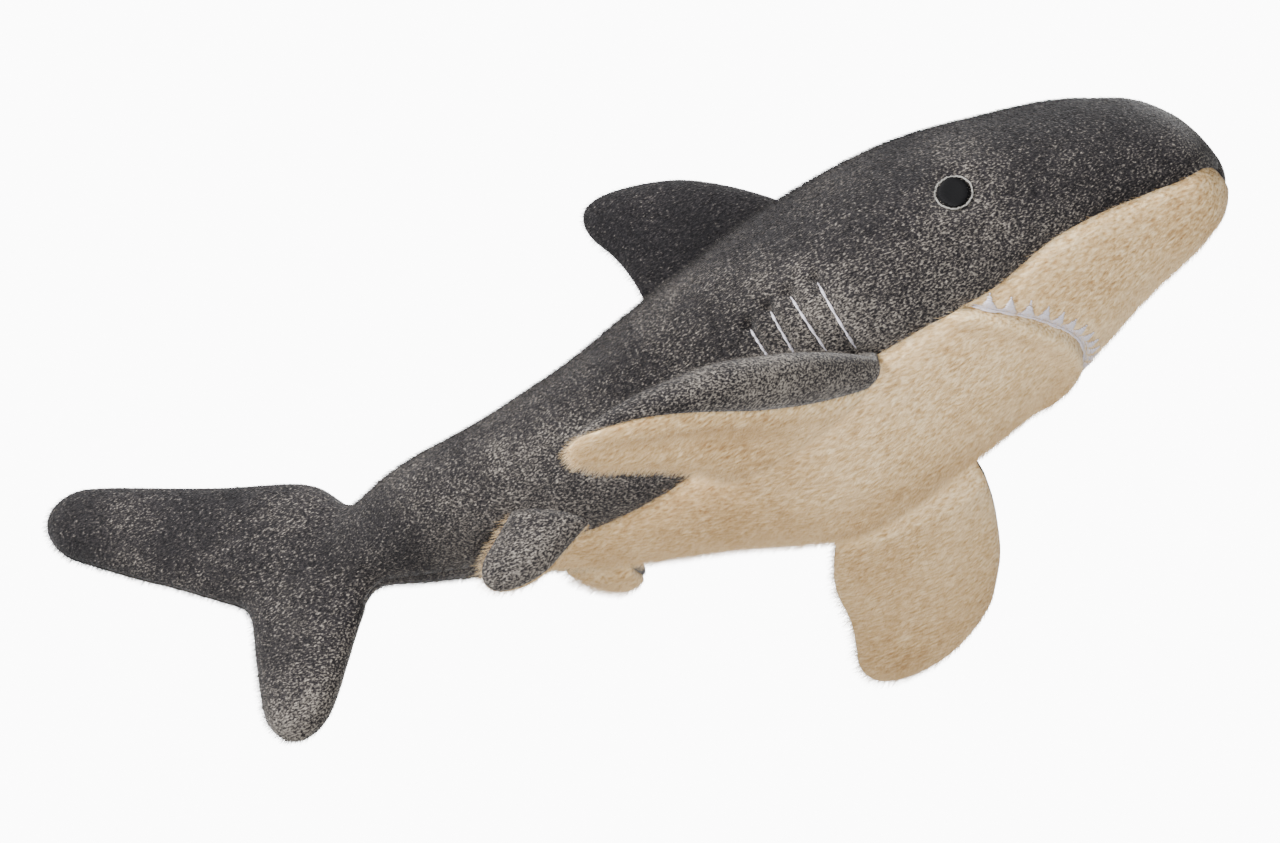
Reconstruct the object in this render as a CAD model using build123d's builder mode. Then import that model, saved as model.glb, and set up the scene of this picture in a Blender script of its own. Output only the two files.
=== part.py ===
from build123d import *
import os
from math import cos, radians, sin, sqrt

# A sewn and stuffed toy shark, 400 mm long, lying level on its belly. +X is towards the nose,
# +Y is the shark's left and +Z is up. The origin is on the floor, in the middle of the flat face
# the belly rests on. Sizes are in millimetres. Places on the body are given as (distance behind
# the nose, distance to the left, height above the axis).

# ---------------------------------------------------------------- driving dimensions
LENGTH = 400.0             # tip of the nose to the tip of the tail's upper lobe
NOSE_X = 143.8             # from the middle of the flat face it rests on to the tip of the nose
AXIS_HEIGHT = 55.6         # the body's axis above the floor
FABRIC = 1.8               # plush cloth, backing and pile together
SLACK = 0.15               # left between the cloth and the stuffing
EMBROIDERY = 0.9           # how far stitched thread stands out of the plush

# sections of the stuffed body: behind the nose, top and bottom from the axis, half width
BODY_SECTIONS = [
    (0.3, 6.5, -1, 4),
    (1.5, 11, -4, 9),
    (5, 19.5, -9, 15.5),
    (12, 29, -13.5, 20.5),
    (31.5, 40.5, -21, 30.5),
    (64, 50, -34.5, 41.5),
    (102.5, 51.5, -47, 50.5),
    (144, 47, -57, 49),
    (189.5, 34.5, -44.5, 40),
    (235, 24, -31.5, 30.5),
    (276, 21.5, -17, 19.5),
    (306, 14, -9, 10),
]

# the seam between the charcoal sides and the cream underside: behind the nose, height
SIDE_SEAM = [(-9, 6), (0, 1.5), (6, -2.5), (19.5, -6), (37.5, -9.5), (50.5, -13), (72, -22),
             (94.5, -27.5), (116.5, -31.5), (159, -35.5), (198.5, -36), (218, -33.5), (261.5, -22.5), (285, -18.5)]

# the mouth is a bow under the snout, from one side seam round to the other
MOUTH_FRONT = 59.5         # front of the bow, behind the nose
MOUTH_DEPTH = 25.0         # bow's depth from front to corners
MOUTH_HALF_WIDTH = 36.5

TOOTH_COUNT = 7            # on each side of the middle
TOOTH_HALF = 2.4           # half a tooth's width at its foot
TOOTH_LENGTH = 4.5
EYE = (74, 44, 8)
EYE_NORMAL = (0.2, 0.96, 0.05)
EYE_RADIUS = 4.9
EYE_RING = (5.1, 6.1)      # inner and outer radius of the pale ring of thread
GILL_THREAD = 1.2          # width of one gill stitch
# the gill stitches' upper and lower ends: behind the nose and height
GILLS = [((121.5, -3), (117.5, -28.5)), ((131, -3.5), (126, -26)),
         ((138.5, -5), (135.5, -23)), ((146.5, -7.5), (143.5, -21))]

# fins: front and rear of the root, forward bow, half chords, half thickness, and tips
PECTORAL = dict(front=(112, 46, -37), rear=(171, 35, -46), bow=8, root_half=30, tip_half=22, thick=6.5)
PELVIC = dict(front=(219, 19.5, -36), rear=(243.5, 26, -23.5), bow=0, root_half=13, tip_half=9, thick=5.5)
# at rest the right fins lie further back against the body than the left ones
PECTORAL_TIPS = {"left": (170, 128, -48.5), "right": (192, 100, -49.5)}
PELVIC_TIPS = {"left": (228, 41, -23), "right": (253, 22, -43)}
DORSAL = dict(front=(131, 0, 52.2), rear=(189.5, 0, 38.9), tip=(194, 0, 84.5), bow=4,
              root_half=27, tip_half=13, thick=5.5)
FIN_ROOT_HALF = 3.0        # half thickness of a fin where it is sewn on

# tail: the lobes leave the fork of the body's end
FORK = (313.5, 0, 8)
UPPER_LOBE = dict(reach=(84, 0, 51), bow=0, root_half=28, tip_half=10.5, thick=8)
LOWER_LOBE = dict(reach=(24, 0, -61), bow=0, root_half=30, tip_half=10, thick=8)
LOBE_START = 14.0          # the lobes start this far inside the fork
LOBE_ROOT_HALF = 8.0       # half thickness of a lobe at the fork

TAIL_HINGE = 262.0         # behind the nose: where the tail sways
TAIL_HINGE_RADIUS = 19.0
TAIL_CLEARANCE = 0.5
TAIL_SWAY = 24.0           # degrees each way

BIG = 2 * LENGTH           # larger than the whole shark


def at(back, left, up):
    """The point that lies so far behind the nose, to the left and above the body's axis."""
    return Vector(NOSE_X - back, left, AXIS_HEIGHT + up)


def finish(piece, name):
    """Labels a finished piece and writes it."""
    piece.part.label = name
    export_step(piece.part, f"parts/{name}.step")


def body_blank(grow):
    """The stuffed body's closed form, grown or shrunk all over."""
    stretch = 1 + grow / NOSE_X
    with BuildPart() as blank:
        for back, top, bottom, half in BODY_SECTIONS:
            with BuildSketch(Plane.YZ.offset((NOSE_X - back) * stretch)):
                with Locations((0, AXIS_HEIGHT + (top + bottom) / 2)):
                    Ellipse(half + grow, (top - bottom) / 2 + grow)
        loft()
    return blank.part


def fin_plane(front, rear, tip):
    """A fin's own plane: x along the root towards the front, y out to the tip, z square to the fin."""
    chord = (at(*front) - at(*rear)).normalized()
    middle = (at(*front) + at(*rear)) * 0.5
    reach = at(*tip) - middle
    normal = chord.cross(reach).normalized()
    return Plane(origin=middle, x_dir=chord, z_dir=normal)


def fin_blank(plane, tip, fin, grow, root_thick=FIN_ROOT_HALF):
    """A stuffed fin's closed form: a swept, tapered loft with a rounded tip. Shrinking keeps its root."""
    local_tip = plane.to_local_coords(tip)
    span = local_tip.Y + grow
    round_from = 1 - 1.15 * fin["tip_half"] / span
    with BuildPart() as blank:
        for share in (0, 0.14, 0.36, 0.6, 0.78, 0.9, 0.97, 1):
            beyond = max(0, (share - round_from) / (1 - round_from))
            rounding = sqrt(1 - 0.7 * beyond**2)
            swell = min(1, share / 0.36)
            half = (fin["root_half"] + (fin["tip_half"] - fin["root_half"]) * share) * rounding
            deep = (root_thick + (fin["thick"] * (1.15 - 0.35 * share) - root_thick) * swell) * rounding
            forward = local_tip.X * share + 4 * fin["bow"] * share * (1 - share)
            station = Plane(plane.from_local_coords(Vector(forward, span * share, 0)),
                            x_dir=plane.x_dir, z_dir=plane.y_dir)
            with BuildSketch(station):
                Ellipse(half + grow, deep + grow)
        loft()
    return blank.part


def sewn_fin(fin):
    """Two panels of plush, one on each side of the fin's plane, and the stuffing between them."""
    plane = fin_plane(fin["front"], fin["rear"], fin["tip"])
    tip = at(*fin["tip"])
    outer = fin_blank(plane, tip, fin, 0)
    inner = fin_blank(plane, tip, fin, -FABRIC)
    pieces = []
    for side in (Keep.TOP, Keep.BOTTOM):
        with BuildPart() as panel:
            add(outer)
            add(inner, mode=Mode.SUBTRACT)
            split(bisect_by=plane, keep=side)
        pieces.append(panel)
    with BuildPart() as stuffing:
        add(fin_blank(plane, tip, fin, -FABRIC - SLACK))
    pieces.append(stuffing)
    return pieces


def mirrored(piece, name):
    """The same piece on the shark's other side."""
    with BuildPart() as twin:
        mirror(piece.part, about=Plane.XZ)
    finish(twin, name)


def lobe_blank(lobe, grow):
    """One lobe of the tail fin, from inside the fork."""
    back, _, up = lobe["reach"]
    out = Vector(-back, 0, up).normalized()
    plane = Plane(at(*FORK) - out * LOBE_START, x_dir=Vector(0, 1, 0).cross(out) * -1, z_dir=(0, 1, 0))
    tip = at(*FORK) + Vector(-back, 0, up)
    return fin_blank(plane, tip, lobe, grow, LOBE_ROOT_HALF)


def tail_blank(grow):
    """The end of the body with both lobes of the tail fin."""
    pieces = [body_blank(grow), lobe_blank(UPPER_LOBE, grow), lobe_blank(LOWER_LOBE, grow)]
    with BuildPart() as blank:
        for piece in pieces:
            add(piece)
    return blank.part


os.makedirs("parts", exist_ok=True)

# ---------------------------------------------------------------- zones that divide the body
hinge_x = NOSE_X - TAIL_HINGE
lip_angle = 90 - TAIL_SWAY - 1

# everything ahead of the tail's hinge, less a round socket and a wedge on each side for the sway
with BuildPart() as body_zone:
    with BuildSketch():
        with BuildLine():
            corner = (hinge_x + BIG * cos(radians(lip_angle)), BIG * sin(radians(lip_angle)))
            Polyline((hinge_x, 0), corner, (corner[0], -corner[1]), close=True)
        make_face()
        with Locations((hinge_x, 0)):
            Circle(TAIL_HINGE_RADIUS + TAIL_CLEARANCE, mode=Mode.SUBTRACT)
    extrude(amount=BIG)

# the tail's own round nose in that socket, and everything behind the hinge
with BuildPart() as tail_zone:
    with BuildSketch():
        with Locations((hinge_x, 0)):
            Circle(TAIL_HINGE_RADIUS)
            Rectangle(BIG, BIG, align=(Align.MAX, Align.CENTER))
    extrude(amount=BIG)

# everything below the side seam
with BuildPart() as underside_zone:
    with BuildSketch(Plane.XZ):
        with BuildLine():
            seam = [(NOSE_X - back, AXIS_HEIGHT + up) for back, up in SIDE_SEAM]
            Spline(seam)
            Polyline(seam[-1], (-BIG, seam[-1][1]), (-BIG, -BIG), (BIG, -BIG), (BIG, seam[0][1]), seam[0])
        make_face()
    extrude(amount=LENGTH / 2, both=True)

# everything behind the mouth, whose bow is a parabola
mouth_corner = NOSE_X - MOUTH_FRONT - MOUTH_DEPTH
with BuildPart() as jaw_zone:
    with BuildSketch():
        with BuildLine():
            right = (mouth_corner, -MOUTH_HALF_WIDTH)
            left = (mouth_corner, MOUTH_HALF_WIDTH)
            Bezier(right, (mouth_corner + 2 * MOUTH_DEPTH, 0), left)
            Polyline(left, (mouth_corner, BIG), (-BIG, BIG), (-BIG, -BIG), (mouth_corner, -BIG), right)
        make_face()
    extrude(amount=BIG)

# ---------------------------------------------------------------- body
body_outer = body_blank(0)
body_inner = body_blank(-FABRIC)

with BuildPart() as body_skin:
    add(body_outer)
    add(body_inner, mode=Mode.SUBTRACT)
    add(body_zone.part, mode=Mode.INTERSECT)

for side, name in ((Keep.BOTTOM, "side_panel_left"), (Keep.TOP, "side_panel_right")):
    with BuildPart() as side_panel:
        add(body_skin.part)
        add(underside_zone.part, mode=Mode.SUBTRACT)
        split(bisect_by=Plane.XZ, keep=side)
    finish(side_panel, name)

with BuildPart() as snout_panel:
    add(body_skin.part)
    add(underside_zone.part, mode=Mode.INTERSECT)
    add(jaw_zone.part, mode=Mode.SUBTRACT)
finish(snout_panel, "snout_panel")

with BuildPart() as belly_panel:
    add(body_skin.part)
    add(underside_zone.part, mode=Mode.INTERSECT)
    add(jaw_zone.part, mode=Mode.INTERSECT)
    split(bisect_by=Plane.XY, keep=Keep.TOP)
finish(belly_panel, "belly_panel")

with BuildPart() as body_stuffing:
    add(body_blank(-FABRIC - SLACK))
    add(body_zone.part, mode=Mode.INTERSECT)
finish(body_stuffing, "body_stuffing")

# ---------------------------------------------------------------- embroidery on the body
with BuildPart() as thread_skin:
    add(body_blank(EMBROIDERY))
    add(body_outer, mode=Mode.SUBTRACT)

# a row of pointed teeth along the bow of the mouth
with BuildPart() as teeth:
    with BuildSketch():
        for index in range(-TOOTH_COUNT, TOOTH_COUNT + 1):
            share = index / (TOOTH_COUNT + 1)
            along = Vector(-2 * MOUTH_DEPTH * share, MOUTH_HALF_WIDTH).normalized()
            out = Vector(along.Y, -along.X)
            foot = Vector(NOSE_X - MOUTH_FRONT - MOUTH_DEPTH * share**2, MOUTH_HALF_WIDTH * share) + out * 0.4
            with BuildLine():
                Polyline(foot - along * TOOTH_HALF, foot + out * TOOTH_LENGTH, foot + along * TOOTH_HALF,
                         close=True)
            make_face()
    extrude(amount=AXIS_HEIGHT)
    add(thread_skin.part, mode=Mode.INTERSECT)
finish(teeth, "teeth_stitching")

eye_plane = Plane(at(*EYE), z_dir=EYE_NORMAL)
with BuildPart() as eye:
    with BuildSketch(eye_plane):
        Circle(EYE_RADIUS)
    extrude(amount=EYE_RADIUS, both=True)
    add(thread_skin.part, mode=Mode.INTERSECT)
finish(eye, "eye_left")
mirrored(eye, "eye_right")

with BuildPart() as eye_ring:
    with BuildSketch(eye_plane):
        Circle(EYE_RING[1])
        Circle(EYE_RING[0], mode=Mode.SUBTRACT)
    extrude(amount=EYE_RADIUS, both=True)
    add(thread_skin.part, mode=Mode.INTERSECT)
finish(eye_ring, "eye_ring_left")
mirrored(eye_ring, "eye_ring_right")

with BuildPart() as gills:
    with BuildSketch(Plane.XZ):
        for ends in GILLS:
            upper, lower = [Vector(NOSE_X - back, AXIS_HEIGHT + up) for back, up in ends]
            with Locations((upper + lower) * 0.5):
                SlotCenterToCenter((upper - lower).length, GILL_THREAD,
                                   rotation=Vector(1, 0).get_signed_angle(upper - lower))
    extrude(amount=-LENGTH / 2)
    add(thread_skin.part, mode=Mode.INTERSECT)
finish(gills, "gill_stitches_left")
mirrored(gills, "gill_stitches_right")

# ---------------------------------------------------------------- tail
tail_outer = tail_blank(0)
tail_inner = tail_blank(-FABRIC)
for side, name in ((Keep.BOTTOM, "tail_panel_left"), (Keep.TOP, "tail_panel_right")):
    with BuildPart() as tail_panel:
        add(tail_outer)
        add(tail_inner, mode=Mode.SUBTRACT)
        add(tail_zone.part, mode=Mode.INTERSECT)
        split(bisect_by=Plane.XZ, keep=side)
    finish(tail_panel, name)

with BuildPart() as tail_stuffing:
    add(tail_blank(-FABRIC - SLACK))
    add(tail_zone.part, mode=Mode.INTERSECT)
finish(tail_stuffing, "tail_stuffing")

# ---------------------------------------------------------------- fins
for stem, fin, tips in (("pectoral", PECTORAL, PECTORAL_TIPS), ("pelvic", PELVIC, PELVIC_TIPS)):
    for side, tip in tips.items():
        for piece, layer in zip(sewn_fin(fin | {"tip": tip}), ("top", "underside", "stuffing")):
            if side == "left":
                finish(piece, f"{stem}_{layer}_left")
            else:
                mirrored(piece, f"{stem}_{layer}_right")

for piece, name in zip(sewn_fin(DORSAL), ("dorsal_panel_right", "dorsal_panel_left", "dorsal_stuffing")):
    finish(piece, name)
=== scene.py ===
"""A plush shark: soft skins of charcoal and cream plush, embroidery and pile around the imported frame."""
from math import pi, radians, sin, sqrt

import bpy
import numpy as np
from mathutils import Matrix, Vector


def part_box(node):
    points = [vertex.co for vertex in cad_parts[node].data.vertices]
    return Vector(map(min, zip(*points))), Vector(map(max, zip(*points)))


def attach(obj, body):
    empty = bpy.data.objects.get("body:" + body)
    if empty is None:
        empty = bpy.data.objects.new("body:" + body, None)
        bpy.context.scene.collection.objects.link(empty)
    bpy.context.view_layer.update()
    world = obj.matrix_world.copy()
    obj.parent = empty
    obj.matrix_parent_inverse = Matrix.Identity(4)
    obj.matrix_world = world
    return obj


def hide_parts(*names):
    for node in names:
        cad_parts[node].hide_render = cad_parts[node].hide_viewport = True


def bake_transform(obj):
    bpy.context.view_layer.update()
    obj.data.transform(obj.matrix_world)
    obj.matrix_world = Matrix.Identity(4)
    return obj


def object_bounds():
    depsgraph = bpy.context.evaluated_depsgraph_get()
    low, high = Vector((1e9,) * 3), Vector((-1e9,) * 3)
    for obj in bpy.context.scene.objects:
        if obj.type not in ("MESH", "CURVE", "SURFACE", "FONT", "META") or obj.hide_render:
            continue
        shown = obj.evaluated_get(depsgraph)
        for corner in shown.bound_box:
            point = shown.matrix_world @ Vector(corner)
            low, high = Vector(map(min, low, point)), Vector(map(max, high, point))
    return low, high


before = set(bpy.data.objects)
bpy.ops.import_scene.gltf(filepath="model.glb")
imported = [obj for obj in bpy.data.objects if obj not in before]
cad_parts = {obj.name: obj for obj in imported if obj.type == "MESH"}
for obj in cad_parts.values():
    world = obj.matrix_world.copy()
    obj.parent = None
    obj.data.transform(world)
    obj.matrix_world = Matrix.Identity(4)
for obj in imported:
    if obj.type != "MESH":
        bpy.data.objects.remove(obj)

cad_box = [[float(v) for v in corner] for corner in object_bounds()]
MM = 0.001

# ---------------------------------------------------------------- the shark's own measures, in millimetres
NOSE_X = cad_box[1][0] / MM
AXIS_HEIGHT = 55.6
CLOTH = 1.8
# sections of the body: behind the nose, top and bottom from the axis, half width
BODY_SECTIONS = np.array([
    (0.0, 3.0, 2.8, 0.1),
    (0.3, 6.5, -1, 4),
    (1.5, 11, -4, 9),
    (5, 19.5, -9, 15.5),
    (12, 29, -13.5, 20.5),
    (31.5, 40.5, -21, 30.5),
    (64, 50, -34.5, 41.5),
    (102.5, 51.5, -47, 50.5),
    (144, 47, -57, 49),
    (189.5, 34.5, -44.5, 40),
    (235, 24, -31.5, 30.5),
    (276, 21.5, -17, 19.5),
    (306, 14, -9, 10),
])
# the seam between the charcoal sides and the cream underside: behind the nose, height
SIDE_SEAM = np.array([
    (-9, 6), (0, 1.5), (6, -2.5), (19.5, -6), (37.5, -9.5), (50.5, -13), (72, -22), (94.5, -27.5),
    (116.5, -31.5), (159, -35.5), (198.5, -36), (218, -33.5), (261.5, -22.5), (285, -18.5), (330, -14),
])
MOUTH_FRONT, MOUTH_DEPTH, MOUTH_HALF_WIDTH = 59.5, 25.0, 36.5
TOOTH_COUNT, TOOTH_HALF, TOOTH_LENGTH = 7, 2.8, 4.8
GILLS = [((121.5, -3), (117.5, -28.5)), ((131, -3.5), (126, -26)),
         ((138.5, -5), (135.5, -23)), ((146.5, -7.5), (143.5, -21))]
EYE = np.array(((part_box("eye_left")[0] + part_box("eye_left")[1]) / 2)) / MM
EYE_HALF = (4.9, 5.1)      # half width and half height of the embroidered eye

# fins: root's front and rear, tip, forward bow, half chords and half thickness
PECTORAL = dict(front=(112, 46, -37), rear=(171, 35, -46), bow=8, root_half=31, tip_half=22, thick=7.5)
PECTORAL_TIPS = {"left": (170, 128, -48.5), "right": (192, 100, -49.5)}
PELVIC = dict(front=(219, 17.5, -32.5), rear=(243.5, 23.5, -20.5), bow=0, root_half=13, tip_half=9.5, thick=6)
PELVIC_TIPS = {"left": (228, 41, -23), "right": (253, 22, -43)}
DORSAL = dict(front=(131, 0, 54), rear=(189.5, 0, 41.5), tip=(194, 0, 84.5), bow=4,
              root_half=28, tip_half=13, thick=6)
FLANGE = 16.0              # each fin runs on this far into the body
NEAR_FIN_THICK = 9.5       # the right pectoral fin is plumper than the left one
# the tail's lobes: how far each reaches back and up from the fork, half chords and half thickness
FORK = (313.5, 0, 8)
UPPER_LOBE = dict(reach=(84, 0, 51), root_half=28, tip_half=10.5, thick=8)
LOWER_LOBE = dict(reach=(24, 0, -61), root_half=30, tip_half=10, thick=8)
LOBE_START = 14.0          # the lobes start this far inside the fork
STRIP_END = 300.0          # the cream underside ends here


def at(back, left, up):
    """The point so far behind the nose, to the left and above the body's axis, in the frame's millimetres."""
    return np.array((NOSE_X - back, left, AXIS_HEIGHT + up), float)


# ---------------------------------------------------------------- curves and surfaces
def smooth_curve(x, xs, ys):
    """A smooth curve through the knots, by cubic pieces whose slopes are those of the knots around."""
    x = np.clip(np.asarray(x, float), xs[0], xs[-1])
    gap = np.diff(xs)
    rise = np.diff(ys) / gap
    slope = np.empty(len(xs))
    slope[0], slope[-1] = rise[0], rise[-1]
    slope[1:-1] = (rise[:-1] * gap[1:] + rise[1:] * gap[:-1]) / (gap[1:] + gap[:-1])
    k = np.clip(np.searchsorted(xs, x, side="right") - 1, 0, len(gap) - 1)
    u = (x - xs[k]) / gap[k]
    return ((1 + 2 * u) * (1 - u)**2 * ys[k] + u * (1 - u)**2 * gap[k] * slope[k]
            + u**2 * (3 - 2 * u) * ys[k + 1] - u**2 * (1 - u) * gap[k] * slope[k + 1])


def body_section(back):
    """Middle height, half height and half width of the body at that distance behind the nose."""
    top, bottom, half = [smooth_curve(back, BODY_SECTIONS[:, 0], BODY_SECTIONS[:, k]) for k in (1, 2, 3)]
    return AXIS_HEIGHT + (top + bottom) / 2, (top - bottom) / 2, half


def seam_height(back):
    return AXIS_HEIGHT + smooth_curve(back, SIDE_SEAM[:, 0], SIDE_SEAM[:, 1])


def mouth_back(left):
    """How far behind the nose the mouth's bow is, at that distance from the middle."""
    return MOUTH_FRONT + MOUTH_DEPTH * (left / MOUTH_HALF_WIDTH)**2


def underside_point(back, left):
    """The point of the body's underside at that place."""
    middle, height, half = body_section(back)
    drop = height * np.sqrt(np.clip(1 - (left / half)**2, 0, 1))
    return np.stack(np.broadcast_arrays(NOSE_X - back, left, middle - drop), -1)


def flank_point(back, up, side):
    """The point of the body's side at that height."""
    middle, height, half = body_section(back)
    out = half * np.sqrt(np.clip(1 - ((AXIS_HEIGHT + up - middle) / height)**2, 0, 1))
    return np.stack(np.broadcast_arrays(NOSE_X - back, side * out, AXIS_HEIGHT + up), -1)


def tube_grid(rings):
    """A closed mesh from rings of points that all have the same count."""
    count, around = rings.shape[:2]
    co = np.concatenate([rings.reshape(-1, 3), rings[:1].mean(1), rings[-1:].mean(1)])
    i, j = np.meshgrid(np.arange(count - 1), np.arange(around), indexing="ij")
    a, b = i * around + j, i * around + (j + 1) % around
    quads = np.stack([a, b, b + around, a + around], -1).reshape(-1, 4)
    first = [(count * around, (k + 1) % around, k) for k in range(around)]
    base = (count - 1) * around
    last = [(count * around + 1, base + k, base + (k + 1) % around) for k in range(around)]
    return co, quads.tolist() + first + last


def make_mesh(name, co, faces, smooth=True):
    """A mesh object from points in millimetres."""
    mesh = bpy.data.meshes.new(name)
    mesh.from_pydata((np.asarray(co) * MM).tolist(), [], [list(f) for f in faces])
    mesh.update()
    if smooth:
        mesh.polygons.foreach_set("use_smooth", np.ones(len(mesh.polygons), bool))
    obj = bpy.data.objects.new(name, mesh)
    bpy.context.scene.collection.objects.link(obj)
    return obj


def triangles(mesh):
    mesh.calc_loop_triangles()
    tri = np.empty(len(mesh.loop_triangles) * 3, np.int32)
    mesh.loop_triangles.foreach_get("vertices", tri)
    co = np.empty(len(mesh.vertices) * 3, np.float32)
    mesh.vertices.foreach_get("co", co)
    return co.reshape(-1, 3).astype(float) / MM, tri.reshape(-1, 3)


def normals_of(co, tri):
    """Smooth normals at the points."""
    face = np.cross(co[tri[:, 1]] - co[tri[:, 0]], co[tri[:, 2]] - co[tri[:, 0]])
    out = np.zeros_like(co)
    for k in range(3):
        np.add.at(out, tri[:, k], face)
    return out / np.maximum(np.linalg.norm(out, axis=1, keepdims=True), 1e-9)


def relax(co, tri, rounds, weight):
    """Evens out the points, each by its own weight."""
    edges = np.concatenate([tri[:, [0, 1]], tri[:, [1, 2]], tri[:, [2, 0]]])
    count = np.maximum(np.bincount(edges[:, 0], minlength=len(co)), 1)[:, None]
    for _ in range(rounds):
        total = np.stack([np.bincount(edges[:, 0], co[edges[:, 1], k], minlength=len(co))
                          for k in range(3)], 1)
        co = co + (total / count - co) * weight[:, None]
    return co


def clip(data, tri, level):
    """The part of a triangle mesh where level is above 0. data holds each point's values, the place first."""
    inside = level > 0
    hits = inside[tri].sum(1)
    whole = tri[hits == 3]
    made_tris, cut_pairs = [], []
    for want in (1, 2):
        part = tri[hits == want]
        odd = inside[part] if want == 1 else ~inside[part]
        turn = odd.argmax(1)
        a = part[np.arange(len(part)), turn]
        b = part[np.arange(len(part)), (turn + 1) % 3]
        c = part[np.arange(len(part)), (turn + 2) % 3]
        cut_pairs.append((want, a, b, c))
    pairs = np.concatenate([np.stack([p[1], q], 1) for p in cut_pairs for q in (p[2], p[3])])
    keys, index = np.unique(np.sort(pairs, axis=1), axis=0, return_inverse=True)
    index = index.ravel()
    share = level[keys[:, 0]] / (level[keys[:, 0]] - level[keys[:, 1]])
    fresh = data[keys[:, 0]] + (data[keys[:, 1]] - data[keys[:, 0]]) * share[:, None]
    index = index + len(data)
    start = 0
    for want, a, b, c in cut_pairs:
        ab = index[start:start + len(a)]
        ac = index[start + len(a):start + 2 * len(a)]
        start += 2 * len(a)
        if want == 1:
            made_tris.append(np.stack([a, ab, ac], 1))
        else:
            made_tris += [np.stack([ab, b, c], 1), np.stack([ab, c, ac], 1)]
    tri = np.concatenate([whole] + made_tris)
    data = np.concatenate([data, fresh])
    used, tri = np.unique(tri, return_inverse=True)
    data, tri = data[used], tri.reshape(-1, 3)
    # points that nearly coincide after the cut are merged
    grid = np.round(data[:, :3] / 0.02).astype(np.int64)
    _, first, back = np.unique(grid, axis=0, return_index=True, return_inverse=True)
    tri = back.ravel()[tri]
    tri = tri[(tri[:, 0] != tri[:, 1]) & (tri[:, 1] != tri[:, 2]) & (tri[:, 2] != tri[:, 0])]
    return data[first], tri


def thick_skin(name, co, normal, tri, slot_material, depth=CLOTH):
    """A closed sheet of cloth from its outer face, and a mask of its points on the rim."""
    edges = np.concatenate([tri[:, [0, 1]], tri[:, [1, 2]], tri[:, [2, 0]]])
    code = edges[:, 0] * len(co) + edges[:, 1]
    twin = edges[:, 1] * len(co) + edges[:, 0]
    rim = edges[~np.isin(code, twin)]
    inner = co - normal * depth
    faces = tri.tolist() + (tri[:, ::-1] + len(co)).tolist()
    faces += np.stack([rim[:, 1], rim[:, 0], rim[:, 0] + len(co), rim[:, 1] + len(co)], 1).tolist()
    obj = make_mesh(name, np.concatenate([co, inner]), faces)
    obj.data.materials.append(slot_material)
    on_rim = np.zeros(len(co), bool)
    on_rim[rim.ravel()] = True
    return obj, on_rim


# ---------------------------------------------------------------- relief
def side_wave(co):
    """The stuffing's low, uneven swells."""
    x, y, z = co.T
    return (0.45 * np.sin(x / 15 + 0.6 * np.sin(z / 19)) * np.sin(z / 13 + y / 21 + 1.1)
            + 0.3 * np.sin(x / 8.5 + z / 11 + 2.0) * np.sin(y / 10 + 0.4))


def segment_distance(x, z, first, last):
    """Distance in side view from the line between two points, and the share of the way along it."""
    run = np.array(last) - np.array(first)
    share = np.clip(((x - first[0]) * run[0] + (z - first[1]) * run[1]) / (run @ run), 0, 1)
    return np.hypot(x - first[0] - share * run[0], z - first[1] - share * run[1]), share


def dip(distance, width):
    return np.exp(-(distance / width)**2)


def body_relief(co, normal):
    """How far the plush stands out of or sinks below the plain body at each point."""
    x, y, z = co.T
    back = NOSE_X - x
    lean = np.maximum(0.45, np.sqrt(1 - normal[:, 2]**2))
    lift = side_wave(co)
    seam_gap = np.abs(z - seam_height(back)) / lean
    lift -= np.clip((STRIP_END + 4 - back) / 8, 0, 1) * (1.1 * dip(seam_gap, 2.0) + 0.5 * dip(seam_gap, 5.0))
    crest = np.abs(y) / np.maximum(0.45, np.sqrt(1 - normal[:, 1]**2))
    lift -= np.where(z > seam_height(back), 0.8 * dip(crest, 1.8), 0)
    # the mouth: a valley where the jaw's edge is sewn on, and the jaw's rolled lip behind it
    gap = back - mouth_back(y)
    beside = 1 / (1 + np.exp((np.abs(y) - MOUTH_HALF_WIDTH - 1) / 1.2))
    low = (z < seam_height(back) + 1.5) * beside
    lift += low * (2.4 * np.exp(-((gap - 4.2) / 3.4)**2) * (gap > 0) - 1.9 * dip(gap, 1.5))
    # each gill stitch pulls the plush into a groove
    for first, last in GILLS:
        ends = [(NOSE_X - b, AXIS_HEIGHT + up) for b, up in (first, last)]
        distance, _ = segment_distance(x, z, *ends)
        lift -= (np.abs(y) > 25) * (1.7 * dip(distance, 1.9) + 0.4 * dip(distance, 4.5))
        hole = np.hypot(x - ends[0][0], z - ends[0][1])
        lift -= (np.abs(y) > 25) * 1.2 * dip(hole, 1.8)
    # the eyes are sunk a little, with a soft brow round them
    reach = np.hypot(x - EYE[0], z - EYE[2])
    lift += (np.abs(y) > 20) * (0.5 * np.exp(-((reach - 11) / 3.5)**2) - 1.3 * dip(reach, 6.5))
    return lift


# ---------------------------------------------------------------- materials
def new_material(name):
    material = bpy.data.materials.new(name)
    material.use_nodes = True
    tree = material.node_tree
    return material, tree, tree.nodes["Principled BSDF"]


def noise(tree, scale, detail, squash=1.0):
    """Noise in the piece's own space, drawn out lengthwise by the squash."""
    place = tree.nodes.new("ShaderNodeTexCoord")
    scaled = tree.nodes.new("ShaderNodeMapping")
    scaled.inputs["Scale"].default_value = (squash, 1, 1)
    texture = tree.nodes.new("ShaderNodeTexNoise")
    texture.inputs["Scale"].default_value = scale
    texture.inputs["Detail"].default_value = detail
    texture.inputs["Roughness"].default_value = 0.6
    tree.links.new(place.outputs["Object"], scaled.inputs["Vector"])
    tree.links.new(scaled.outputs["Vector"], texture.inputs["Vector"])
    return texture.outputs["Fac"]


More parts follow.
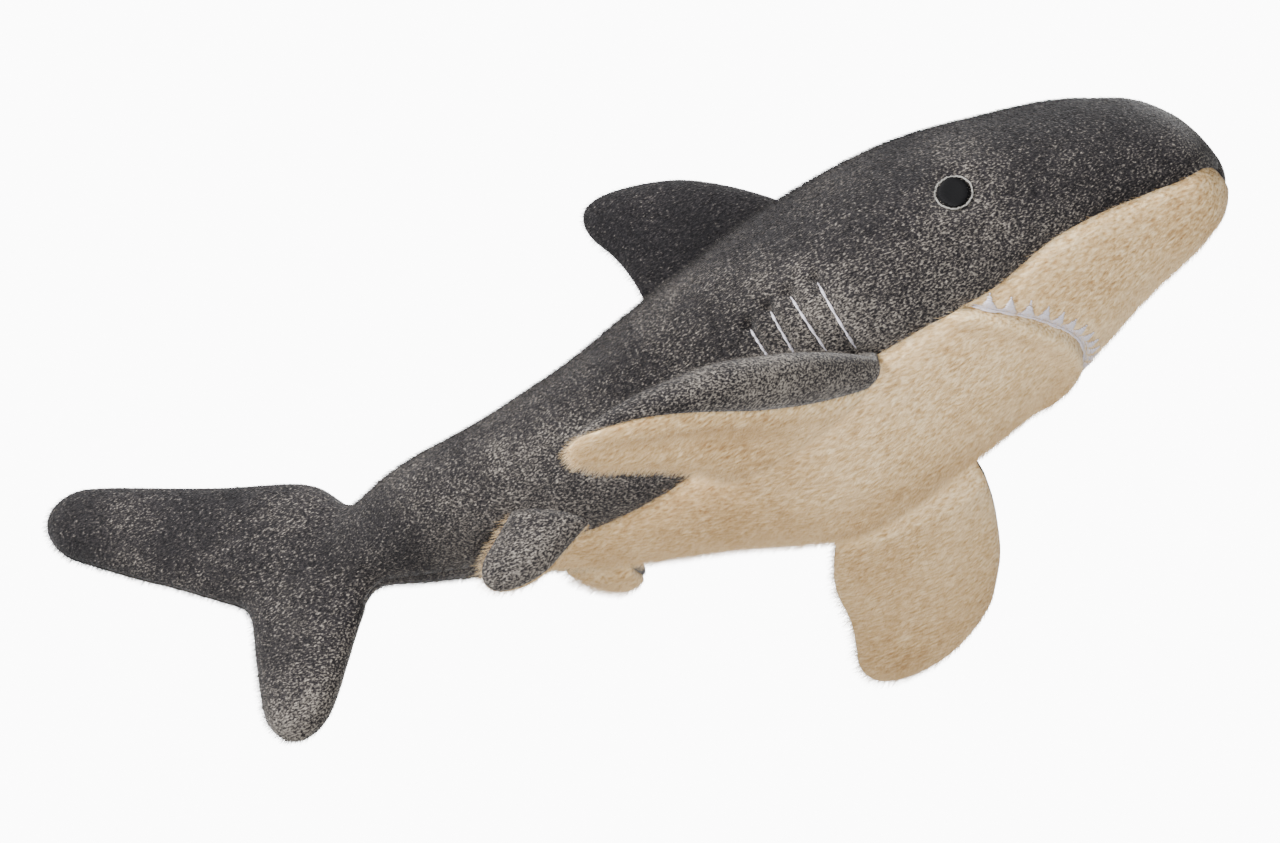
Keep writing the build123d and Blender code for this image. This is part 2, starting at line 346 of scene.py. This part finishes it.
def weighted(tree, terms):
    """The sum of values, each times its own weight."""
    total = None
    for value, weight in terms:
        node = tree.nodes.new("ShaderNodeMath")
        node.operation = "MULTIPLY_ADD"
        tree.links.new(value, node.inputs[0])
        node.inputs[1].default_value = weight
        node.inputs[2].default_value = 0
        if total is not None:
            tree.links.new(total, node.inputs[2])
        total = node.outputs["Value"]
    return total


def ramp(tree, value, stops):
    node = tree.nodes.new("ShaderNodeValToRGB")
    node.color_ramp.elements[0].position, node.color_ramp.elements[0].color = stops[0][0], (*stops[0][1], 1)
    node.color_ramp.elements[1].position, node.color_ramp.elements[1].color = stops[-1][0], (*stops[-1][1], 1)
    for place, colour in stops[1:-1]:
        node.color_ramp.elements.new(place).color = (*colour, 1)
    tree.links.new(value, node.inputs["Fac"])
    return node.outputs["Color"]


def plush_material(name, stops, tuft_scale, streak, patch_scale, patch_weight, sheen, painted_height_shade):
    """Plush cloth and its pile: tufts, patches where the nap lies another way, and painted shade that
    darkens the colour with height."""
    made = []
    for kind in ("cloth", "pile"):
        material, tree, shader = new_material(name if kind == "cloth" else name + "_pile")
        tufts = noise(tree, tuft_scale, 1.5, streak)
        place = tree.nodes.new("ShaderNodeTexCoord")
        split = tree.nodes.new("ShaderNodeSeparateXYZ")
        tree.links.new(place.outputs["Object"], split.inputs["Vector"])
        patches = noise(tree, patch_scale, 3)
        # the height term is painted shade: the colour grows darker towards the top
        terms = [(patches, patch_weight), (tufts, 1 - patch_weight), (split.outputs["Z"], -painted_height_shade)]
        if kind == "pile":
            info = tree.nodes.new("ShaderNodeHairInfo")
            terms.append((info.outputs["Random"], 0.1))
            terms.append((info.outputs["Intercept"], 0.08))
            shader.inputs["Roughness"].default_value = 0.6
            shader.inputs["Specular IOR Level"].default_value = 0.3
        else:
            shader.inputs["Roughness"].default_value = 0.92
            shader.inputs["Specular IOR Level"].default_value = 0.15
            shader.inputs["Sheen Weight"].default_value = sheen
            shader.inputs["Sheen Roughness"].default_value = 0.45
            bump = tree.nodes.new("ShaderNodeBump")
            bump.inputs["Strength"].default_value = 0.6
            bump.inputs["Distance"].default_value = 0.0008
            tree.links.new(tufts, bump.inputs["Height"])
            tree.links.new(bump.outputs["Normal"], shader.inputs["Normal"])
        # the stops move down with the painted shade's strength, which lightens the whole ramp to balance it
        shift = (0.08 if kind == "pile" else 0.0) - 0.06 * painted_height_shade
        shifted = [(stop + shift, colour) for stop, colour in stops]
        tree.links.new(ramp(tree, weighted(tree, terms), shifted), shader.inputs["Base Color"])
        made.append(material)
    return made


def thread_material(name, colour, roughness, sheen, gloss=0.5):
    material, _, shader = new_material(name)
    shader.inputs["Base Color"].default_value = (*colour, 1)
    shader.inputs["Roughness"].default_value = roughness
    shader.inputs["Sheen Weight"].default_value = sheen
    shader.inputs["Specular IOR Level"].default_value = gloss
    return material


# the charcoal's last number is painted shade that darkens its colour with height; the cream has none
charcoal, charcoal_pile = plush_material(
    "charcoal_plush",
    [(0.40, (0.004, 0.0035, 0.0045)), (0.54, (0.024, 0.021, 0.0215)), (0.70, (0.26, 0.232, 0.2))],
    1900, 0.5, 24, 0.28, 0.2, 1.3)
cream, cream_pile = plush_material(
    "cream_plush", [(0.34, (0.39, 0.225, 0.09)), (0.49, (0.65, 0.46, 0.235)), (0.64, (0.87, 0.70, 0.44))],
    1100, 0.3, 20, 0.35, 0.1, 0.0)
black_thread = thread_material("black_thread", (0.003, 0.003, 0.0035), 0.7, 0.0, 0.12)
grey_thread = thread_material("grey_thread", (0.26, 0.25, 0.23), 0.7, 0.1)
silver_thread = thread_material("silver_thread", (0.62, 0.59, 0.66), 0.45, 0.3)


# ---------------------------------------------------------------- pile
def add_pile(obj, weight, pile_material, per_square_mm, length, lay, seed):
    """Combed pile on the outer face: fine hairs that lean backwards."""
    obj.data.materials.append(pile_material)
    group = obj.vertex_groups.new(name="pile")
    for level in np.unique(weight[weight > 0]):
        group.add(np.nonzero(weight == level)[0].tolist(), float(level), "REPLACE")
    area = sum(p.area for p in obj.data.polygons) / 2 / MM**2
    obj.modifiers.new("pile", "PARTICLE_SYSTEM")
    system = obj.particle_systems[0]
    settings = system.settings
    settings.type = "HAIR"
    settings.use_advanced_hair = True
    settings.count = int(area * per_square_mm)
    settings.hair_step = 2
    settings.render_step = 2
    settings.display_step = 1
    settings.display_percentage = 1
    # a hair is four times as long as its starting speed
    speed = length * MM / 4
    settings.normal_factor = speed * (1 - lay)
    settings.object_align_factor = (-speed * lay, 0, -speed * lay * 0.15)
    settings.factor_random = speed * 0.45
    settings.length_random = 0.3
    settings.root_radius = 0.075
    settings.tip_radius = 0.02
    settings.radius_scale = MM
    settings.material = len(obj.data.materials)
    system.vertex_group_density = "pile"
    system.seed = seed


DARK_PILE = dict(per_square_mm=3.2, length=1.9, lay=0.62)
CREAM_PILE = dict(per_square_mm=3.4, length=3.4, lay=0.72)


def keep_clear(co, spots):
    """1 where pile grows, and 0 under embroidery: spots are (points, clearance)."""
    weight = np.ones(len(co))
    for points, clearance in spots:
        for p in points:
            weight[np.linalg.norm(co - p, axis=1) < clearance] = 0
    return weight


def finish_skin(obj, on_rim, weight, kind, stands_for, seed):
    pile = charcoal_pile if kind == "dark" else cream_pile
    sizes = DARK_PILE if kind == "dark" else CREAM_PILE
    weight = np.where(on_rim, 0.6 * weight, weight)
    add_pile(obj, weight, pile, seed=seed, **sizes)
    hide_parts(*stands_for)


# ---------------------------------------------------------------- body and tail in one closed form
def lobe_rings(lobe):
    """Rings of a tail lobe, from inside the fork out to its rounded tip."""
    back, _, up = lobe["reach"]
    out = np.array((-back, 0, up), float)
    span = np.linalg.norm(out)
    out /= span
    across = np.cross((0, 1, 0), out)
    start = at(*FORK) - out * LOBE_START
    span += LOBE_START
    rings = []
    tip = 1.15 * lobe["tip_half"] / span
    rounded_end = 1 - tip + tip * np.sin(np.linspace(0.12, 1, 9) * pi / 2)
    for share in np.concatenate([np.linspace(0, 1 - tip, 14), rounded_end]):
        beyond = max(0, (share - 1 + tip) / tip)
        rounding = sqrt(max(0.003, 1 - beyond**2))
        half = (lobe["root_half"] + (lobe["tip_half"] - lobe["root_half"]) * share) * rounding
        half *= 1 - 0.6 * max(0, 1 - share / 0.24)**2
        deep = lobe["thick"] * (1.15 - 0.35 * share) * rounding**0.8
        turn = np.linspace(0, 2 * pi, 48, endpoint=False)
        rings.append(start + out * span * share + np.outer(np.cos(turn) * half, across)
                     + np.outer(np.sin(turn) * deep, (0, 1, 0)))
    return np.array(rings)


turn = np.linspace(0, 2 * pi, 120, endpoint=False)
body_backs = np.concatenate([[0.05, 0.3, 0.8, 1.5, 2.5, 3.6], np.arange(5, 306.1, 2.5)])
middle, height, half = body_section(body_backs)
body_rings = np.stack([
    np.broadcast_to((NOSE_X - body_backs)[:, None], (len(body_backs), len(turn))),
    half[:, None] * np.sin(turn),
    middle[:, None] + height[:, None] * np.cos(turn)], -1)
joined_co, joined_faces = [], []
for rings in (body_rings, lobe_rings(UPPER_LOBE), lobe_rings(LOWER_LOBE)):
    co, faces = tube_grid(rings)
    start = sum(len(c) for c in joined_co)
    joined_co.append(co)
    joined_faces += [[v + start for v in f] for f in faces]
whole = make_mesh("whole", np.concatenate(joined_co), joined_faces)
remesh = whole.modifiers.new("remesh", "REMESH")
remesh.mode = "VOXEL"
remesh.voxel_size = 1.15 * MM
baked = bpy.data.meshes.new_from_object(whole.evaluated_get(bpy.context.evaluated_depsgraph_get()))
bpy.data.objects.remove(whole)
co, tri = triangles(baked)
bpy.data.meshes.remove(baked)
volume = np.einsum("ij,ij->i", co[tri[:, 0]], np.cross(co[tri[:, 1]], co[tri[:, 2]])).sum()
if volume < 0:
    tri = tri[:, ::-1]
co = relax(co, tri, 4, np.full(len(co), 0.5))
# the lobes run softly into the body's end
backs = NOSE_X - co[:, 0]
co = relax(co, tri, 60, 0.5 * np.clip((backs - 282) / 14, 0, 1) * np.clip((372 - backs) / 34, 0, 1))
data = np.concatenate([co, normals_of(co, tri)], 1)


def under_level(values):
    return seam_height(NOSE_X - values[:, 0]) - values[:, 2]


def jaw_level(values):
    return NOSE_X - values[:, 0] - mouth_back(values[:, 1])


def strip_end(values):
    """The cream underside ends in a point on the tail's root."""
    return STRIP_END - (NOSE_X - values[:, 0])


def with_relief(data):
    co, normal = data[:, :3], data[:, 3:]
    normal = normal / np.linalg.norm(normal, axis=1, keepdims=True)
    co = co + normal * body_relief(co, normal)[:, None]
    co[:, 2] = np.maximum(co[:, 2], 0.15)
    return co, normal


SIDES = (("left", 1), ("right", -1))
EYE_SIDES = {side: np.array((EYE[0], sign * abs(EYE[1]), EYE[2])) for side, sign in SIDES}
gill_places = [(first[0] + (last[0] - first[0]) * share, first[1] + (last[1] - first[1]) * share)
               for first, last in GILLS for share in np.linspace(0, 1, 9)]
gill_points = {side: [flank_point(np.array(b), up, sign) for b, up in gill_places] for side, sign in SIDES}

under_full = np.minimum(under_level(data), strip_end(data))
dark_data, dark_tri = clip(data, tri, -under_full)
for side, sign in SIDES:
    part, part_tri = clip(dark_data, dark_tri, sign * dark_data[:, 1])
    co, normal = with_relief(part)
    obj, on_rim = thick_skin(f"side_{side}", co, normal, part_tri, charcoal)
    weight = keep_clear(co, [([EYE_SIDES[side]], 5.2), (gill_points[side], 0.9)])
    stands_for = [f"side_panel_{side}", f"tail_panel_{side}"]
    if side == "left":
        stands_for += ["body_stuffing", "tail_stuffing"]
    finish_skin(obj, on_rim, weight, "dark", stands_for, 11 + sign)
    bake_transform(obj)

under_data, under_tri = clip(data, tri, under_full)
teeth_line = [underside_point(mouth_back(y), y) for y in np.linspace(-MOUTH_HALF_WIDTH, MOUTH_HALF_WIDTH, 60)]
for name, sign, stands_for in (("snout", -1, ["snout_panel"]), ("belly", 1, ["belly_panel"])):
    part, part_tri = clip(under_data, under_tri, sign * jaw_level(under_data))
    co, normal = with_relief(part)
    obj, on_rim = thick_skin(name, co, normal, part_tri, cream)
    weight = keep_clear(co, [(teeth_line, 1.2)])
    finish_skin(obj, on_rim, weight, "cream", stands_for, 21 + sign)
    if name == "belly":
        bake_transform(obj)
    else:
        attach(obj, "body")

# ---------------------------------------------------------------- fins
FIN_AROUND = 64


def fin_frame(fin, sign):
    """A fin's own axes: chord towards the front, normal upwards, and out to the tip."""
    flip = np.array((1, sign, 1))
    front, rear, tip = [at(*fin[k]) * flip for k in ("front", "rear", "tip")]
    chord = (front - rear) / np.linalg.norm(front - rear)
    origin = (front + rear) / 2
    normal = np.cross(chord, tip - origin) * (sign if fin is not DORSAL else 1)
    normal /= np.linalg.norm(normal)
    out = (tip - origin) - chord * ((tip - origin) @ chord)
    out /= np.linalg.norm(out)
    return origin, chord, normal, out, (tip - origin) @ chord, (tip - origin) @ out


def fin_shape(fin, sign, wrap, hollow, gather):
    """Rings of a plump fin with a flange inside the body. wrap turns the edge seam under the leading edge,
    hollow dents the underside, and gather draws the rear of the root in."""
    origin, chord, normal, out, sweep, span = fin_frame(fin, sign)
    tip = 1.15 * fin["tip_half"] / span
    inward = np.array((origin[0], 0, AXIS_HEIGHT)) - origin
    inward /= np.linalg.norm(inward)
    inner = np.linspace(-FLANGE / span, 0, 7)[:-1]
    rounded_end = 1 - tip + tip * np.sin(np.linspace(0.06, 1, 22) * pi / 2)
    shares = np.concatenate([inner, np.linspace(0, 1 - tip, 34), rounded_end])
    rings = []
    for share in shares:
        beyond = max(0, (share - 1 + tip) / tip)
        rounding = sqrt(max(0.0005, 1 - beyond**2))
        s = max(0, share)
        near_root = max(0, 1 - s / 0.35)**2
        half = (fin["root_half"] * (1 - 0.5 * gather * near_root)
                + (fin["tip_half"] - fin["root_half"]) * s) * rounding * (1 + 0.25 * min(0, share))
        deep = fin["thick"] * (0.85 + 0.6 * s - 0.75 * s**2) * rounding**0.9
        forward = sweep * s + 4 * fin["bow"] * s * (1 - s) + 0.7 * gather * fin["root_half"] * near_root
        start = radians(wrap) * sqrt(sin(pi * (0.12 + 0.8 * s)))
        turn = -start + np.linspace(0, 2 * pi, FIN_AROUND, endpoint=False)
        along = np.cos(turn)
        depth = np.sin(turn) * (1 + 0.25 * along)
        pull = hollow * sin(pi * min(1, s)) * np.exp(-((along + 0.3) / 0.32)**2) * (np.sin(turn) < 0)
        centre = origin + out * span * s - inward * span * min(0, share)
        rings.append(centre + np.outer(forward + along * half, chord)
                     + np.outer(depth * deep + pull, normal))
    return np.array(rings)


def fin_skins(stem, fin, sign, wrap, hollow, gather, names, kinds, seed):
    rings = fin_shape(fin, sign, wrap, hollow, gather)
    count, around = rings.shape[:2]
    flat, faces = tube_grid(rings)
    quads = np.array([f for f in faces if len(f) == 4])
    caps = np.array([f for f in faces if len(f) == 3])
    tri_all = np.concatenate([quads[:, [0, 1, 2]], quads[:, [0, 2, 3]], caps])
    column = np.concatenate([np.tile(np.arange(around), count), [0, 0]])
    volume = np.einsum("ij,ij->i", flat[tri_all[:, 0]], np.cross(flat[tri_all[:, 1]], flat[tri_all[:, 2]])).sum()
    if volume < 0:
        tri_all = tri_all[:, ::-1]
    normal = normals_of(flat, tri_all)
    # the edge seam is pulled in
    off_seam = np.minimum(np.minimum(column, around - column), np.abs(column - around // 2))
    flat = flat + normal * (0.4 * side_wave(flat * 1.6) - 0.9 * dip(off_seam, 1.3))[:, None]
    flat[:, 2] = np.maximum(flat[:, 2], 0.3)
    step = around // 2
    for k, (name, kind) in enumerate(zip(names, kinds)):
        low, high = k * step, (k + 1) * step
        i, j = np.meshgrid(np.arange(count - 1), np.arange(low, high), indexing="ij")
        a, b = i * around + j, i * around + (j + 1) % around
        tri = np.stack([a, b, b + around, a, b + around, a + around], -1).reshape(-1, 3)
        last = (count - 1) * around
        ring = np.arange(low, high)
        cap = np.stack([np.full(step, count * around + 1), last + ring, last + (ring + 1) % around], 1)
        tri = np.concatenate([tri, cap])
        used, tri = np.unique(tri, return_inverse=True)
        tri = tri.reshape(-1, 3)
        co, nrm = flat[used], normal[used]
        face = np.cross(co[tri[:, 1]] - co[tri[:, 0]], co[tri[:, 2]] - co[tri[:, 0]])
        if (face * nrm[tri[:, 0]]).sum() < 0:
            tri = tri[:, ::-1]
        obj, on_rim = thick_skin(name + "_skin", co, nrm, tri, charcoal if kind == "dark" else cream, depth=1.2)
        side = name.split("_")[-1]
        if stem == "dorsal":
            stands_for = [f"dorsal_panel_{side}"] + (["dorsal_stuffing"] if k == 0 else [])
        else:
            stands_for = [name] + ([f"{stem}_stuffing_{side}"] if k == 0 else [])
        finish_skin(obj, on_rim, np.ones(len(co)), kind, stands_for, seed + k)
        origin, chord, _, out, _, span = fin_frame(fin, sign)
        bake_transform(obj)


for side, sign in SIDES:
    pectoral = PECTORAL | {"tip": PECTORAL_TIPS[side]}
    if side == "right":
        pectoral["thick"] = NEAR_FIN_THICK
        wrap, hollow, gather = 62, 5.0, 0
    else:
        wrap, hollow, gather = 6, 1.0, 0.3
    fin_skins("pectoral", pectoral, sign, wrap, hollow, gather,
              [f"pectoral_top_{side}", f"pectoral_underside_{side}"], ["dark", "cream"],
              31 + sign)
    fin_skins("pelvic", PELVIC | {"tip": PELVIC_TIPS[side]}, sign, 8, 0, 0,
              [f"pelvic_top_{side}", f"pelvic_underside_{side}"], ["dark", "cream"],
              41 + sign)
fin_skins("dorsal", DORSAL, 1, 0, 0, 0, ["dorsal_side_right", "dorsal_side_left"], ["dark", "dark"],
          51)


# ---------------------------------------------------------------- embroidery
def tubes(name, paths, radius, sides=6, taper=0.35):
    """One mesh of round threads along paths of points."""
    co_all, faces_all, start = [], [], 0
    for path in paths:
        path = np.asarray(path, float)
        ahead = np.gradient(path, axis=0)
        ahead /= np.maximum(np.linalg.norm(ahead, axis=1, keepdims=True), 1e-9)
        side = np.cross(ahead, (0.31, 0.17, 0.93))
        side /= np.maximum(np.linalg.norm(side, axis=1, keepdims=True), 1e-9)
        lift = np.cross(ahead, side)
        turn = np.linspace(0, 2 * pi, sides, endpoint=False)
        size = np.full(len(path), radius)
        size[0] = size[-1] = radius * taper
        round_section = np.cos(turn)[:, None] * side[:, None] + np.sin(turn)[:, None] * lift[:, None]
        rings = path[:, None] + round_section * size[:, None, None]
        co, faces = tube_grid(rings)
        faces_all += [[v + start for v in f] for f in faces]
        co_all.append(co)
        start += len(co)
    return make_mesh(name, np.concatenate(co_all), faces_all)


def on_body(points, lift):
    """Points moved onto the body's relief, and a little above it."""
    points = np.asarray(points, float)
    middle, height, half = body_section(NOSE_X - points[:, 0])
    normal = np.stack([np.zeros(len(points)), points[:, 1] / half**2, (points[:, 2] - middle) / height**2], 1)
    normal /= np.linalg.norm(normal, axis=1, keepdims=True)
    return points + normal * (body_relief(points, normal) + lift)[:, None]


def trim(obj, material, node):
    obj.data.materials.append(material)
    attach(obj, "body")
    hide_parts(node)


rng = np.random.default_rng(7)
for side, sign in SIDES:
    rows = []
    for k in np.linspace(-0.95, 0.95, 23):
        reach = EYE_HALF[0] * sqrt(1 - k * k) + 0.15 * rng.standard_normal()
        share = np.linspace(-1, 1, 9)
        back = NOSE_X - EYE[0] + share * reach
        up = EYE[2] - AXIS_HEIGHT + k * EYE_HALF[1]
        points = flank_point(back, up, sign)
        rows.append(on_body(points, 0.55 + 0.75 * np.sqrt(np.clip(1 - share**2 * 0.9 - 0.3 * k * k, 0, 1))))
    trim(tubes(f"eye_thread_{side}", rows, 0.36), black_thread, f"eye_{side}")
    ring = []
    for strand in (0, 1):
        turn = np.linspace(0, 2 * pi, 61)
        wide = 1.1 + 0.05 * strand + 0.015 * np.sin(turn * 9 + strand)
        back = NOSE_X - EYE[0] + np.cos(turn) * EYE_HALF[0] * wide
        up = EYE[2] - AXIS_HEIGHT + np.sin(turn) * EYE_HALF[1] * wide
        ring.append(on_body(flank_point(back, up, sign), 0.6 + 0.25 * np.sin(turn * 23)))
    trim(tubes(f"eye_ring_thread_{side}", ring, 0.14), grey_thread, f"eye_ring_{side}")
    strands = []
    for first, last in GILLS:
        share = np.linspace(0, 1, 40)
        for ply in (0, 1):
            twist = share * 15 + ply * pi
            back = first[0] + (last[0] - first[0]) * share + 0.22 * np.cos(twist)
            up = first[1] + (last[1] - first[1]) * share
            points = flank_point(back, up, sign)
            strands.append(on_body(points, 0.55 + 0.2 * np.sin(twist) - 1.3 * (1 - np.sin(pi * share)**0.4)))
    trim(tubes(f"gill_threads_{side}", strands, 0.24), silver_thread, f"gill_stitches_{side}")

teeth = []
for index in range(-TOOTH_COUNT, TOOTH_COUNT + 1):
    left = MOUTH_HALF_WIDTH * index / (TOOTH_COUNT + 1.3)
    slope = 2 * MOUTH_DEPTH * left / MOUTH_HALF_WIDTH**2
    along = np.array((-slope, 1)) / sqrt(1 + slope * slope)
    ahead = np.array((along[1], -along[0]))
    foot = np.array((NOSE_X - mouth_back(left), left))
    length = TOOTH_LENGTH * (1 - 0.3 * (abs(index) / TOOTH_COUNT)**4)
    for reach in np.linspace(-0.3, length, 14):
        wide = TOOTH_HALF * max(0.06, 1 - max(0, reach) / length) + 0.1 * rng.standard_normal()
        share = np.linspace(-1, 1, 7)[:, None]
        flat = foot + along * wide * share + ahead * (reach + 0.12 * rng.standard_normal())
        points = underside_point(NOSE_X - flat[:, 0], flat[:, 1])
        teeth.append(on_body(points, 0.35 + 0.2 * np.sqrt(np.clip(1 - share[:, 0]**2, 0, 1))))
# a line of stitching joins the teeth at their feet
for behind in (-0.4, 0.1):
    lefts = np.linspace(-0.94, 0.94, 90) * MOUTH_HALF_WIDTH
    points = underside_point(mouth_back(lefts) + behind, lefts)
    teeth.append(on_body(points, 0.55 + 0.15 * np.sin(np.arange(90) * 1.3 + behind)))
trim(tubes("teeth_thread", teeth, 0.33), silver_thread, "teeth_stitching")

# ---------------------------------------------------------------- studio
floor_material, tree, shader = new_material("studio_floor")
shader.inputs["Base Color"].default_value = (0.86, 0.86, 0.86, 1)
shader.inputs["Roughness"].default_value = 0.9
# the floor is seen only from above, so that the shark's underside shows too
facing = tree.nodes.new("ShaderNodeNewGeometry")
clear = tree.nodes.new("ShaderNodeBsdfTransparent")
choose = tree.nodes.new("ShaderNodeMixShader")
tree.links.new(facing.outputs["Backfacing"], choose.inputs["Fac"])
tree.links.new(shader.outputs["BSDF"], choose.inputs[1])
tree.links.new(clear.outputs["BSDF"], choose.inputs[2])
tree.links.new(choose.outputs["Shader"], tree.nodes["Material Output"].inputs["Surface"])
edge = 4000
floor = make_mesh("floor", [(-edge, -edge, 0), (edge, -edge, 0), (edge, edge, 0), (-edge, edge, 0)], [(0, 1, 2, 3)])
floor.data.materials.append(floor_material)
floor.visible_shadow = False
floor.visible_diffuse = False
floor.visible_glossy = False

world = bpy.data.worlds.new("studio")
bpy.context.scene.world = world
world.use_nodes = True
# soft white light all round, in front of a brighter white backdrop
ambient = world.node_tree.nodes["Background"]
ambient.inputs["Color"].default_value = (1, 1, 1, 1)
ambient.inputs["Strength"].default_value = 0.42
backdrop = world.node_tree.nodes.new("ShaderNodeBackground")
backdrop.inputs["Strength"].default_value = 14
rays = world.node_tree.nodes.new("ShaderNodeLightPath")
either = world.node_tree.nodes.new("ShaderNodeMixShader")
world.node_tree.links.new(rays.outputs["Is Camera Ray"], either.inputs["Fac"])
world.node_tree.links.new(ambient.outputs["Background"], either.inputs[1])
world.node_tree.links.new(backdrop.outputs["Background"], either.inputs[2])
world.node_tree.links.new(either.outputs["Shader"], world.node_tree.nodes["World Output"].inputs["Surface"])


middle = (Vector(cad_box[0]) + Vector(cad_box[1])) / 2


def add_light(name, place, power, size):
    """A square soft light that faces the shark."""
    light = bpy.data.lights.new(name, "AREA")
    light.energy = power
    light.size = size
    obj = bpy.data.objects.new(name, light)
    bpy.context.scene.collection.objects.link(obj)
    obj.location = place
    obj.rotation_euler = (middle - Vector(place)).to_track_quat("-Z", "Y").to_euler()


add_light("key", (-0.45, -1.1, 0.75), 62, 0.4)
add_light("under", (0.1, -0.95, -0.95), 24, 0.6)
add_light("rear", (0.1, 1.3, 0.7), 30, 0.8)

# ---------------------------------------------------------------- camera
right = Vector((0.893, 0.375, -0.25)).normalized()
back_to_camera = Vector((0.22, -0.847, -0.484)).normalized()
right = (right - back_to_camera * right.dot(back_to_camera)).normalized()
up = back_to_camera.cross(right)
camera = bpy.data.cameras.new("camera")
camera.sensor_width = 36
camera.lens = 208.8
camera.clip_end = 20
camera_obj = bpy.data.objects.new("camera", camera)
bpy.context.scene.collection.objects.link(camera_obj)
place = Vector((NOSE_X * MM + 0.3099, -1.9627, -1.0617))
turned = Matrix((right, up, back_to_camera)).transposed().to_4x4()
camera_obj.matrix_world = Matrix.Translation(place) @ turned
bpy.context.scene.camera = camera_obj
